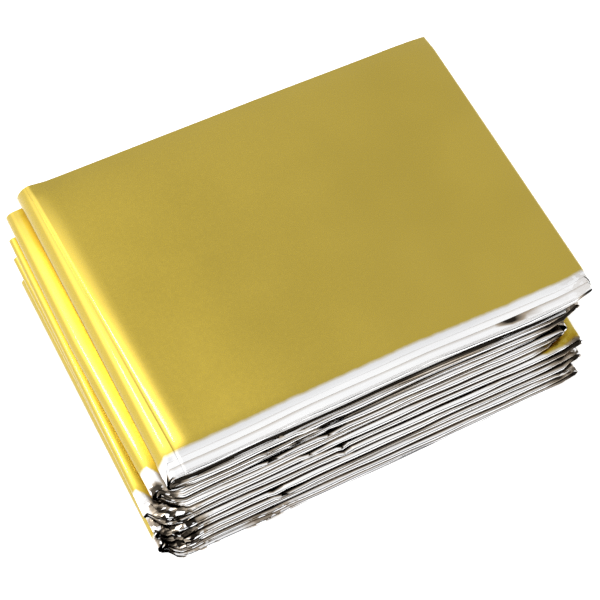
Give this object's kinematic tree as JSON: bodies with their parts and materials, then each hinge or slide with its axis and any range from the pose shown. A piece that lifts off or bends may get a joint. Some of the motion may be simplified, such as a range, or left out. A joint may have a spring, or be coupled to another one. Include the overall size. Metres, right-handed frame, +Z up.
{
  "type": "folded emergency foil blanket",
  "caption": "Metallised film rescue blanket, gold outside and silver inside, folded back and forth into a leaning rectangular packet.",
  "frame": {"origin": "middle of the packet's plan outline, on the surface it lies on", "axes": "+X to the right along the front edge, +Y from the silver front edge to the gold back edge, +Z up"},
  "size_m": [0.142, 0.115, 0.0241],
  "materials": {
    "gold_film": "satin metallised film, gold lacquered outside with a bare silver border and silver inside"
  },
  "bodies": {
    "root": {"foil_blanket": "gold_film"}
  },
  "joints": []
}
